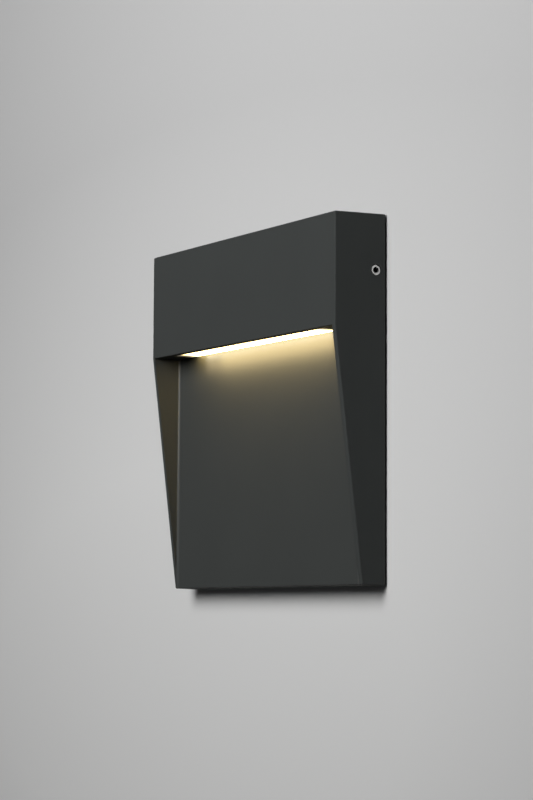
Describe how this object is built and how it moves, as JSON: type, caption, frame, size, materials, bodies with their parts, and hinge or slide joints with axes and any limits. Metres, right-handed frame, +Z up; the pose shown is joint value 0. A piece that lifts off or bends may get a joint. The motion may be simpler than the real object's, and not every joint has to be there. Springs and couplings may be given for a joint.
{
  "type": "wall guide light",
  "caption": "Square slim wall guide light: cast housing with a sloped recess, opal strip washing light down, hung over a screwed wall plate and clamped by side set screws.",
  "frame": {"origin": "on the wall plane, at the centre of the housing's outline seen from the front", "axes": "+Z up, +Y into the wall, the light faces -Y, +X to the right as seen from the front"},
  "size_m": [0.16, 0.0264, 0.16],
  "materials": {
    "anthracite_coat": "matte",
    "zinc_steel": "satin",
    "stainless": "satin",
    "black_rubber": "matte",
    "black_foam": "matte",
    "silicone": "matte",
    "opal": "satin",
    "tray_aluminium": "satin",
    "board_white": "satin",
    "led_phosphor": "satin",
    "terminal_plastic": "satin",
    "brass": "satin",
    "driver_plastic": "matte",
    "board_green": "satin",
    "ferrite": "matte",
    "capacitor_sleeve": "gloss"
  },
  "bodies": {
    "wall_base": {"wall_plate": "zinc_steel", "cable_grommet": "black_rubber", "terminal_block": "terminal_plastic", "terminal_clamps": "brass", "terminal_screws": "zinc_steel", "terminal_fixing_screws": "zinc_steel", "earth_screw": "brass", "earth_washer": "brass"},
    "light_body": {"housing": "anthracite_coat", "rim_gasket": "black_foam", "diffuser": "opal", "diffuser_gasket": "silicone", "led_carrier": "tray_aluminium", "carrier_screws": "zinc_steel", "thermal_pad": "silicone", "led_board": "board_white", "led_chips": "led_phosphor", "led_board_screws": "zinc_steel", "driver_case": "driver_plastic", "driver_lid": "driver_plastic", "driver_board": "board_green", "driver_transformer": "ferrite", "driver_capacitors": "capacitor_sleeve", "driver_screws": "zinc_steel"},
    "left_screw": {"set_screw_left": "stainless"},
    "right_screw": {"set_screw_right": "stainless"}
  },
  "joints": [
    {"name": "light_slide", "type": "slide", "parent": "wall_base", "child": "light_body", "axis": [0, -1, 0], "range_m": [0, 0.045]},
    {"name": "left_screw_turn", "type": "hinge", "parent": "light_body", "child": "left_screw", "pos_m": [-0.0795, -0.0055, 0.0553], "axis": [-1, 0, 0], "continuous": true},
    {"name": "right_screw_turn", "type": "hinge", "parent": "light_body", "child": "right_screw", "pos_m": [0.0795, -0.0055, 0.0553], "axis": [1, 0, 0], "continuous": true}
  ]
}
